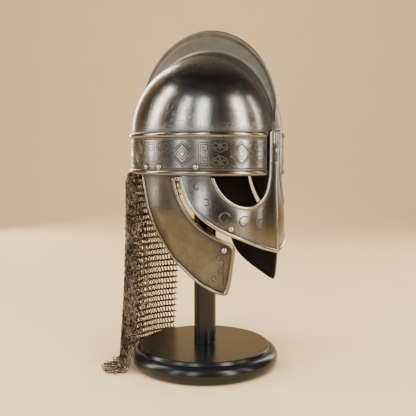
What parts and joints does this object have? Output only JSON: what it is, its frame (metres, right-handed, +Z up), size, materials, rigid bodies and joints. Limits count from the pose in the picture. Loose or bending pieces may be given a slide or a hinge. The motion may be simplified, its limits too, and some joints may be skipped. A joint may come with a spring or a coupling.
{
  "type": "crested face-plate helmet with mail curtain on display stand",
  "caption": "Steel helmet with a high comb, brow band, eyed face plate, hanging cheek guards and a mail neck curtain, on a black turned stand",
  "frame": {"origin": "centre of the stand base's underside", "axes": "+Z up; the helmet faces -Y and its comb lies in the YZ plane; -X is the wearer's right"},
  "size_m": [0.2337, 0.2603, 0.4927],
  "materials": {
    "polished_steel": "brushed and polished steel with brown toning along the edges and in the engraved lines",
    "worn_steel": "brushed steel with a warm brown-grey tone and a tan raised border",
    "dark_mail": "darkened steel rings",
    "rivet_steel": "polished steel",
    "black_paint": "gloss black paint"
  },
  "bodies": {
    "root": {"bowl": "polished_steel", "comb": "polished_steel", "brow_band": "polished_steel", "face_plate": "polished_steel", "cheek_guard_right": "worn_steel", "cheek_guard_left": "worn_steel", "mail_curtain": "dark_mail", "stand_post": "black_paint", "stand_base": "black_paint", "rivet_nasal": "rivet_steel", "rivet_guard_rear_right": "rivet_steel", "rivet_guard_rear_left": "rivet_steel", "rivet_guard_front_right": "rivet_steel", "rivet_guard_front_left": "rivet_steel", "rivet_arm_right": "rivet_steel", "rivet_arm_left": "rivet_steel", "rivet_face_right": "rivet_steel", "rivet_face_left": "rivet_steel", "rivet_guard_corner_right": "rivet_steel", "rivet_guard_corner_left": "rivet_steel"}
  },
  "joints": []
}
